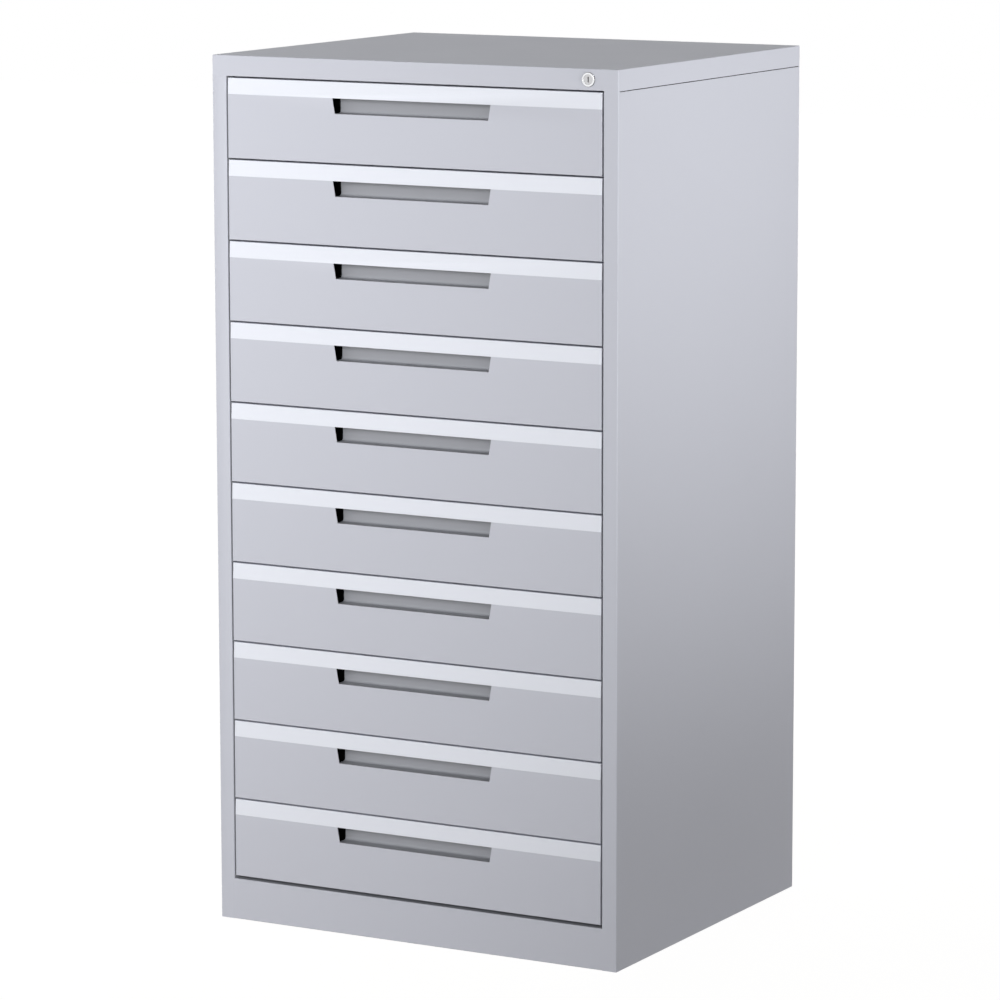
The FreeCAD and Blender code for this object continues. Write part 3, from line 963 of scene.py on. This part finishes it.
@dataclass
class Carcass:
    """The painted shell: cap, sides and plinth, with the plain sheets inside it that stay as they are."""

    finishes: Finishes
    stile_return: float = 18.0
    rear_flange: float = 15.0
    cap_return: float = 15.0
    mouth_gap: float = 2.5
    mouth_bend: float = 1.0
    seam: float = 1.2
    seam_ends: Range = (4.0, 592.0)
    joggle: float = 18.0
    joggle_ends: Range = (19.1, 592.9)
    joggle_bend: float = 0.3
    foot: float = 12.0
    foot_ends: Range = (25.3, 593.0)
    foot_bend: float = 0.2
    plinth_shelf: float = 33.7
    plinth_foot: float = 25.0
    plinth_weld: float = 1.4
    lock_hole: float = 9.1
    lock_hole_span: Range = (-2.0, 4.0)
    margin: float = 1.0

    def build(self) -> None:
        """Model and dress every piece of the shell."""
        self.finishes.dress(self._cap(), Finish.SHELL, "carcass", "top_cover")
        right = self._side()
        left = mirrored(right, "side_shell_left")
        self.finishes.dress(right, Finish.SHELL, "carcass", "side_panel_right")
        self.finishes.dress(left, Finish.SHELL, "carcass", "side_panel_left")
        self.finishes.dress(self._plinth(), Finish.SHELL, "carcass", "plinth")
        self.finishes.dress_nodes(Finish.SHELL, "back_panel")
        self.finishes.dress_nodes(Finish.ZINC, "base_pan", "post_front_left", "post_front_right",
                                  "post_rear_left", "post_rear_right", "lock_bar_guides")
        self.finishes.dress_nodes(Finish.RUBBER, "runner_stops")

    def _cap(self) -> Object:
        """Model the folded cap, whose front is the rail over the drawers.

        Returns:
            The cap.
        """
        half, low, high = CABINET.half_width, CABINET.body_top, CABINET.height
        mouth = CABINET.stile_inner - self.mouth_gap
        cap = add_block("cap_shell", (-half, 0.0, low), (half, CABINET.depth, high))
        with editing(cap):
            open_up(cap, lambda face: looks(face, DOWN), "ONLY_FACE")
            bend(cap, self._cap_fold, CABINET.bend)
            for side in SIDES:
                cut(cap, lambda face: looks(face, FRONT, DEAD_FLAT), (side * mouth, 0.0, low), RIGHT)
            extrude(cap, self._cap_mouth, (0.0, self.cap_return, 0.0))
            bend(cap, self._cap_mouth, self.mouth_bend)
        thicken(cap, CABINET.shell)
        cut_out(cap, add_round("lock_hole", LOCK.x, LOCK.z, self.lock_hole, self.lock_hole_span))
        smooth(cap)
        return cap

    @staticmethod
    def _cap_fold(edge: Edge) -> bool:
        """Say whether an edge of the cap's block is an upright one or lies round its top."""
        low, high = (vert.co.z for vert in edge.verts)
        return low != high or within(edge, z=near(CABINET.height))

    @staticmethod
    def _cap_mouth(edge: Edge) -> bool:
        """Say whether an edge is the cap's lower front one, between the stiles."""
        return within(edge, y=near(0.0), z=near(CABINET.body_top),
                      x=(-CABINET.stile_inner, CABINET.stile_inner))

    def _side(self) -> Object:
        """Model the right side, with its stile, its rear and foot flanges and the seam under the cap.

        Returns:
            The side.
        """
        half, depth, top = CABINET.half_width, CABINET.depth, CABINET.body_top
        stile, inner = CABINET.stile_inner, half - CABINET.shell
        path = [(stile, self.stile_return), (stile, 0.0), (half, 0.0), (half, depth),
                (half - self.rear_flange, depth)]
        wrap = FoldedSheet(path, Plane.XY, 0.0, top, CABINET.shell).build("side_shell_right", broken=False)
        cut_out(wrap, add_block(
            "seam_notch", (half - 2 * self.margin, self.seam_ends[0], top - self.seam),
            (half + self.margin, self.seam_ends[1], top + self.margin)))
        joggle = self._strip("joggle", (inner - CABINET.shell, inner), self.joggle_ends,
                             (top - self.joggle, top + self.joggle), self.joggle_bend)
        foot = self._strip("foot", (half - self.foot, inner), self.foot_ends, (0.0, CABINET.shell),
                           self.foot_bend)
        # The stile's return beside the drawers gets painted shade
        self._paint_fold_shade(wrap, lambda face: looks(face, LEFT) and within(face, x=near(stile)))
        # The joggle behind the seam is near black: painted shade in the seam
        self.finishes.coat(joggle, Finish.PRIMER)
        self.finishes.coat(foot, Finish.SHELL)
        side = join([wrap, joggle, foot])
        smooth(side)
        return side

    @staticmethod
    def _strip(name: str, across: Range, along: Range, up: Range, radius: float) -> Object:
        """Model a strip behind the side's sheet, with the edges that face inwards rounded.

        Args:
            name: The strip's name.
            across: Where it starts and ends along X.
            along: The same along Y.
            up: The same along Z.
            radius: The radius of its inner edges.

        Returns:
            The strip.
        """
        strip = add_block(name, *zip(across, along, up))
        with editing(strip):
            bend(strip, lambda edge: within(edge, x=near(across[0])), radius, 2)
        return strip

    def _plinth(self) -> Object:
        """Model the kick plate with its shelf and foot, and with the welds at its ends ground flush.

        Returns:
            The plate.
        """
        top, end = CABINET.plinth, CABINET.stile_inner + self.plinth_weld
        path = [(self.plinth_shelf, top), (0.0, top), (0.0, 0.0), (self.plinth_foot, 0.0)]
        plate = FoldedSheet(path, Plane.YZ, -end, end, CABINET.shell).build("kick_plate", broken=False)
        # The shelf behind the gap under the lowest drawer gets painted shade
        self._paint_fold_shade(plate, lambda face: looks(face, UP) and within(face, z=near(top)))
        return plate

    def _paint_fold_shade(self, sheet: Object, face: Test) -> None:
        """Give a painted sheet its finish, with a darker paint on the faces inside a fold as painted shade
        for the gap in front of them.
        """
        self.finishes.coat(sheet, Finish.SHELL, Finish.FOLD)
        recoat(sheet, face)


@dataclass
class DrawerFront:
    """A folded front: a shallow pan with a crease under its top strip, which is made lighter as a painted
    highlight, and the pull behind it.
    """

    finishes: Finishes
    half: float = 315.5
    height: float = 119.6
    depth: float = 28.0
    sheet: float = 0.9
    bend: float = 1.2
    edge: float = 0.15
    crease: float = 95.6
    setback: float = 1.0
    highlight_reach: Range = (95.55, 119.7)
    highlight_depth: Range = (-0.1, 2.2)
    pull_low: float = 72.6
    pull_half: float = 133.5
    pull_slant: float = 4.0
    window: tuple[float, float, float] = (300.0, 12.0, 100.0)
    pull_sheet: float = 0.8
    pull_back: float = 24.8
    pull_top: float = 107.6
    pull_bend: float = 5.0
    pull_segments: int = 6
    hood_front: float = 1.42

    def build(self) -> tuple[Object, Object]:
        """Model the lowest drawer's front and pull.

        Returns:
            The front and the pull.
        """
        low = CABINET.first_drawer
        front = add_block("front_pan_10", (-self.half, 0.0, low), (self.half, self.depth, low + self.height))
        self.finishes.coat(front, Finish.FRONT, Finish.STRIP, Finish.PRIMER)
        with editing(front):
            self._fold_strip(front)
            self._open_pull(front)
            self._open_back(front)
            bend(front, self._on_rim, self.bend)
        # The pan's inside gets the near-black painted shade, seen past the pull's open ends
        thicken(front, self.sheet, inner_slot=2)
        break_edges(front, self.edge)
        # The top strip's outside gets the painted highlight
        recoat(front, self._on_strip)
        smooth(front)
        bottom, top = low + self.pull_low - self.pull_sheet, low + self.pull_top
        path = [(self.sheet, bottom), (self.pull_back, bottom), (self.pull_back, top), (self.hood_front, top)]
        channel = FoldedSheet(path, Plane.YZ, -self.pull_half, self.pull_half, self.pull_sheet,
                              self.pull_bend, self.pull_segments)
        return front, channel.build("pull_channel_10")

    def _fold_strip(self, front: Object) -> None:
        """Crease the front and lean its top strip back.

        Args:
            front: The front in edit mode.
        """
        low = CABINET.first_drawer
        cut(front, lambda face: looks(face, FRONT), (0.0, 0.0, low + self.crease), UP)
        choose(front, Part.VERT, lambda vert: within(vert, y=near(0.0), z=near(low + self.height)))
        bpy.ops.transform.translate(value=(0.0, self.setback * MM, 0.0))

    def _open_pull(self, front: Object) -> None:
        """Cut the pull's opening, with slanted ends, right under the crease.

        Args:
            front: The front in edit mode.
        """
        low = CABINET.first_drawer
        bottom, top = low + self.pull_low, low + self.crease
        cut(front, lambda face: looks(face, FRONT) and within(face, z=around(0.0, top)),
            (0.0, 0.0, bottom), UP)

        def in_band(face: Face) -> bool:
            """Say whether a face lies in the band of the opening."""
            return looks(face, FRONT) and within(face, z=around(bottom, top))

        for side in SIDES:
            slant = (side * (self.crease - self.pull_low), 0.0, -self.pull_slant)
            cut(front, in_band, (side * self.pull_half, 0.0, top), slant)
        open_up(front, lambda face: in_band(face) and within(face, x=around(-self.pull_half, self.pull_half)))

    def _open_back(self, front: Object) -> None:
        """Cut the window in the pan's back.

        Args:
            front: The front in edit mode.
        """
        low = CABINET.first_drawer
        half, bottom, top = self.window
        for side in SIDES:
            cut(front, lambda face: looks(face, BACK), (side * half, 0.0, 0.0), RIGHT)
        for level in (bottom, top):
            cut(front, lambda face: looks(face, BACK), (0.0, 0.0, low + level), UP)
        open_up(front, lambda face: looks(face, BACK) and within(
            face, x=around(-half, half), z=around(low + bottom, low + top)))

    def _on_rim(self, edge: Edge) -> bool:
        """Say whether an edge lies round the pan's front face.

        Args:
            edge: The edge.

        Returns:
            Whether it does.
        """
        low = CABINET.first_drawer
        sides = any(within(edge, x=near(side * self.half)) for side in SIDES)
        ends = any(within(edge, z=near(low + level)) for level in (0.0, self.height))
        return within(edge, y=around(0.0, self.setback)) and (sides or ends)

    def _on_strip(self, face: Face) -> bool:
        """Say whether a face belongs to the top strip's outside, which gets the painted highlight."""
        low, high = (CABINET.first_drawer + level for level in self.highlight_reach)
        return looks(face, FRONT, SLIGHT) and within(face, y=self.highlight_depth, z=(low, high))


@dataclass(frozen=True)
class Channel:
    """A runner channel of the lowest drawer, with its web on the outside."""

    web: float
    tip: float
    half: float
    end: float
    sheet: float = 1.2
    bend: float = 2.2

    def build(self, name: str) -> Object:
        """Model the channel of the right side.

        Args:
            name: The channel's name.

        Returns:
            The channel.
        """
        centre = CABINET.first_drawer + CABINET.rail_centre
        low, high = centre - self.half, centre + self.half
        path = [(self.tip, low), (self.web, low), (self.web, high), (self.tip, high)]
        sheet = FoldedSheet(path, Plane.XZ, CABINET.runner_start, self.end, self.sheet, self.bend)
        return sheet.build(name)

    def pair(self, name: str) -> Object:
        """Model the channels of both sides as one object."""
        right = self.build(name)
        return join([right, mirrored(right, name + "_left")])


@dataclass
class DrawerBox:
    """What a drawer front closes: the tray, the rails at its sides and the catch for the lock's bar."""

    finishes: Finishes
    start: float = 28.0
    end: float = 548.0
    floor: float = 8.0
    rim: float = 104.0
    flange: float = 6.0
    sheet: float = 0.8
    bend: float = 1.2
    front_wall: Range = (27.9, 28.2)
    rail_web: float = 314.0
    rail_half: float = 15.0
    catch: tuple[Point, ...] = ((304.0, 48.3), (304.0, 32.3), (315.0, 32.3))
    catch_sheet: float = 1.5
    catch_bend: float = 2.0
    catch_ends: Range = (80.0, 88.0)

    def build(self) -> tuple[Object, Object, Object]:
        """Model the lowest drawer's tray, rails and catch.

        Returns:
            The tray, the rails and the catch.
        """
        rails = Channel(self.rail_web, CABINET.tray_half, self.rail_half, self.end).pair("tray_rails_10")
        low, high = (CABINET.first_drawer + end for end in self.catch_ends)
        bent = FoldedSheet(self.catch, Plane.XY, low, high, self.catch_sheet, self.catch_bend)
        catch = bent.build("tray_catch_10")
        return self._tray(), rails, catch

    def _tray(self) -> Object:
        """Model the open tray, with a flange outwards along the top of each side.

        Returns:
            The tray.
        """
        half = CABINET.tray_half
        floor, rim = CABINET.first_drawer + self.floor, CABINET.first_drawer + self.rim
        tray = add_block("tray_pan_10", (-half, self.start, floor), (half, self.end, rim))
        with editing(tray):
            open_up(tray, lambda face: looks(face, UP), "ONLY_FACE")
            for side in SIDES:
                extrude(tray, lambda edge: within(edge, x=near(side * half), z=near(rim)),
                        (side * self.flange, 0.0, 0.0))
            bend(tray, lambda edge: within(edge, z=near(floor)) or any(
                within(edge, x=near(side * half), z=near(rim)) for side in SIDES), self.bend, 3)
        thicken(tray, self.sheet)
        break_edges(tray)
        self.finishes.coat(tray, Finish.TRAY, Finish.PRIMER)
        # The tray's front wall, seen through the front's window, gets the near-black painted shade
        recoat(tray, lambda face: looks(face, FRONT, STEEP) and within(face, y=self.front_wall))
        smooth(tray)
        return tray


@dataclass
class Drawers:
    """All the drawers with their cradles and fixed runners, each modelled once and copied up the cabinet."""

    finishes: Finishes
    cradle: Channel = Channel(web=315.5, tip=305.0, half=16.5, end=555.7)
    runner: Channel = Channel(web=317.0, tip=306.0, half=18.0, end=560.0)

    def build(self) -> None:
        """Model the lowest drawer, copy it up and dress every copy."""
        front, pull = DrawerFront(self.finishes).build()
        tray, rails, catch = DrawerBox(self.finishes).build()
        cradle = self.cradle.pair("cradle_channels_10")
        parts = [
            (front, Finish.FRONT, "drawer_{}", "drawer_front_{}"),
            # The pull channel carries the painted shade of its recess
            (pull, Finish.PULL, "drawer_{}", "drawer_pull_{}"),
            (tray, Finish.TRAY, "drawer_{}", "drawer_tray_{}"),
            (rails, Finish.RUNNER, "drawer_{}", "drawer_tray_{}"),
            (catch, Finish.BAR, "drawer_{}", "drawer_tray_{}"),
            (cradle, Finish.RUNNER, "cradle_{}", "drawer_cradle_{}"),
        ]
        for number in range(1, CABINET.drawers + 1):
            label = f"{number:02d}"
            for part, finish, body, node in parts:
                piece = part
                if number < CABINET.drawers:
                    piece = copy_at(part, part.name.replace("10", label), CABINET.drawer(number))
                self.finishes.dress(piece, finish, body.format(label), node.format(label))
        self._runners()

    def _runners(self) -> None:
        """Model and dress the fixed runners of both sides."""
        lowest = self.runner.build("fixed_runners_right")
        copies = [copy_at(lowest, "fixed_runner", CABINET.drawer(number))
                  for number in range(1, CABINET.drawers)]
        right = join([lowest, *copies])
        left = mirrored(right, "fixed_runners_left")
        self.finishes.dress(right, Finish.RUNNER, "carcass", "runners_right")
        self.finishes.dress(left, Finish.RUNNER, "carcass", "runners_left")


@dataclass
class Lock:
    """The cam lock: a round head with the keyed plug in it, and the plain steel pieces behind it."""

    x: float = 294.0
    z: float = 1304.5
    sides: int = 96
    head_radius: float = 10.5
    head_height: float = 2.2
    head_edge: float = 0.15
    bright_cosine: float = 0.9
    chamfer: float = 0.8
    chamfer_segments: int = 5
    rim_slack: float = 0.1
    barrel_radius: float = 9.0
    barrel_length: float = 24.0
    bore: float = 7.55
    plug_radius: float = 7.5
    plug_recess: float = 0.3
    plug_tail: float = 24.3
    plug_edge: float = 0.2
    keyway: tuple[float, float, float] = (1.8, 8.0, 9.0)
    margin: float = 1.0

    def build(self, finishes: Finishes) -> None:
        """Model and dress the lock.

        Args:
            finishes: The cabinet's finishes.
        """
        finishes.dress(self._housing(finishes), Finish.CHROME, "carcass", "lock_housing")
        finishes.dress(self._plug(), Finish.CORE, "lock_plug", "lock_plug")
        finishes.dress_nodes(Finish.ZINC, "lock_nut")
        finishes.dress_nodes(Finish.BAR, "lock_cam", "lock_bar", "lock_tabs")

    def _on_head_rim(self, edge: Edge) -> bool:
        """Say whether an edge lies round the front of the head.

        Args:
            edge: The edge.

        Returns:
            Whether it does.
        """
        centre = place(self.x, -self.head_height, self.z)
        return within(edge, y=near(-self.head_height)) and all(
            abs((vert.co - centre).length / MM - self.head_radius) < self.rim_slack for vert in edge.verts)

    def _housing(self, finishes: Finishes) -> Object:
        """Model the turned housing: its head, its barrel and its bore.

        Args:
            finishes: The cabinet's finishes.

        Returns:
            The housing.
        """
        front = -self.head_height
        housing = add_round("lock_head", self.x, self.z, self.head_radius, (front, 0.0), self.sides)
        with editing(housing):
            choose(housing, Part.FACE, lambda face: looks(face, BACK))
            bpy.ops.mesh.inset(thickness=(self.head_radius - self.barrel_radius) * MM)
            bpy.ops.mesh.extrude_region_move(
                TRANSFORM_OT_translate={"value": (0.0, self.barrel_length * MM, 0.0)})
            bend(housing, self._on_head_rim, self.chamfer, self.chamfer_segments)
        span = (front - self.margin, self.barrel_length + self.margin)
        cut_out(housing, add_round("lock_bore", self.x, self.z, self.bore, span, self.sides))
        break_edges(housing, self.head_edge)
        finishes.coat(housing, Finish.CHROME, Finish.RIM)
        # Faces that don't face the front get the painted dark reflection
        recoat(housing, lambda face: not looks(face, FRONT, self.bright_cosine))
        smooth(housing)
        return housing

    def _plug(self) -> Object:
        """Model the plug with its keyway.

        Returns:
            The plug.
        """
        front = self.plug_recess - self.head_height
        plug = add_round("lock_core", self.x, self.z, self.plug_radius, (front, self.plug_tail), self.sides)
        width, tall, deep = self.keyway
        cut_out(plug, add_block("keyway", (self.x - width / 2, front - self.margin, self.z - tall / 2),
                                (self.x + width / 2, front + deep, self.z + tall / 2)))
        break_edges(plug, self.plug_edge)
        smooth(plug)
        return plug


LOCK = Lock()


# Studio


@dataclass
class Softbox:
    """A rectangular lamp that faces a point. Its places and sizes are in metres of the frame."""

    name: str
    spot: Triple
    target: Triple
    size: Point
    power: float
    spread: float

    def build(self) -> None:
        """Add the lamp."""
        data = bpy.data.lights.new(self.name, "AREA")
        data.shape = "RECTANGLE"
        data.size, data.size_y = self.size
        data.energy = self.power
        data.spread = math.radians(self.spread)
        lamp = bpy.data.objects.new(self.name, data)
        lamp.location = self.spot
        lamp.rotation_euler = (Vector(self.target) - Vector(self.spot)).to_track_quat("-Z", "Y").to_euler()
        bpy.context.scene.collection.objects.link(lamp)


@dataclass
class Studio:
    """A plain pale floor, a white background, soft lamps and the camera at the photograph's angle.

    Places and the floor's sizes are in metres, the lens is in millimetres and angles are in degrees.
    """

    ambient: float = 1.24
    ambient_fade: Range = (0.0, 0.85)
    floor_colour: Colour = (0.43, 0.4, 0.36)
    floor_half: float = 14.0
    fade: Range = (0.75, 1.9)
    shadow_share: float = 0.82
    glow: float = 1.18
    lens: float = 167.91
    azimuth: float = 29.211
    elevation: float = 9.313
    roll: float = -0.081
    camera_spot: Triple = (3.42944, -6.16476, 1.7888)
    lamps: tuple[Softbox, ...] = (
        Softbox("front_softbox", (0.3, -4.8, 1.9), (-1.6, -0.3, 1.18), (1.8, 1.8), 27.2, 66.6),
        Softbox("side_softbox", (2.18, -0.25, 0.5), (0.34, 0.38, 2.2), (1.8, 0.4), 11.8, 103.0),
        Softbox("back_softbox", (-0.7, 2.9, 1.1), (0.0, 0.3, 0.7), (1.0, 0.4), 11.0, 120.0),
        Softbox("left_softbox", (-2.4, 0.9, 1.1), (-0.34, 0.0, 0.9), (1.2, 0.4), 5.5, 120.0),
    )

    def build(self) -> None:
        """Add the floor, the background, the lamps and the camera."""
        bpy.context.scene.view_settings.view_transform = "Standard"
        self._world()
        self._floor()
        for lamp in self.lamps:
            lamp.build()
        self._camera()

    def _world(self) -> None:
        """Light the scene evenly, and show white behind it."""
        graph = Graph(bpy.data.worlds.new("studio"))
        way = graph.node("ShaderNodeTexCoord", {}, {}).outputs["Generated"]
        rise = graph.value("ShaderNodeSeparateXYZ", {}, {"Vector": way}, "Z")
        level = 1 - rise.between(*self.ambient_fade)
        seen = graph.seen()
        strength = seen + (1 - seen) * level * self.ambient
        graph.show(graph.node("ShaderNodeBackground", {}, {"Color": WHITE, "Strength": strength}))
        bpy.context.scene.world = graph.owner

    def _floor(self) -> None:
        """Add the floor, which keeps the cabinet's shadow and fades to white away from it."""
        deselect()
        bpy.ops.mesh.primitive_plane_add(size=2 * self.floor_half)
        floor = name_mesh(bpy.context.active_object, "studio_floor")
        graph = Graph(bpy.data.materials.new("studio_floor"))
        radius = graph.value(
            "ShaderNodeVectorMath", {"operation": "LENGTH"}, {0: graph.coordinates()}, "Value")
        far = radius.between(*self.fade)
        white = graph.seen() * (self.shadow_share + (1 / self.glow - self.shadow_share) * far)
        plain = graph.node("ShaderNodeBsdfDiffuse", {}, {"Color": (*self.floor_colour, 1.0)})
        glow = graph.node("ShaderNodeEmission", {}, {"Color": WHITE, "Strength": self.glow})
        graph.show(graph.node("ShaderNodeMixShader", {}, {0: white, 1: plain.outputs[0], 2: glow.outputs[0]}))
        floor.data.materials.append(graph.owner)

    def _camera(self) -> None:
        """Add the camera at the photograph's place."""
        turn, lift = math.radians(self.azimuth), math.radians(self.elevation)
        forward = Vector((-math.sin(turn) * math.cos(lift), math.cos(turn) * math.cos(lift), -math.sin(lift)))
        right = Vector((math.cos(turn), math.sin(turn), 0.0))
        level = Matrix((right, right.cross(forward), -forward)).transposed()
        rolled = level @ Matrix.Rotation(math.radians(self.roll), 3, "Z")
        data = bpy.data.cameras.new("photo_camera")
        data.lens = self.lens
        camera = bpy.data.objects.new("photo_camera", data)
        camera.matrix_world = Matrix.Translation(self.camera_spot) @ rolled.to_4x4()
        bpy.context.scene.collection.objects.link(camera)
        bpy.context.scene.camera = camera


def main() -> None:
    """Build the cabinet's looks and the studio round it."""
    logging.basicConfig(level=logging.INFO, format="%(name)s: %(message)s")
    finishes = Finishes()
    Carcass(finishes).build()
    Drawers(finishes).build()
    LOCK.build(finishes)
    Studio().build()


if __name__ == "__main__":
    main()
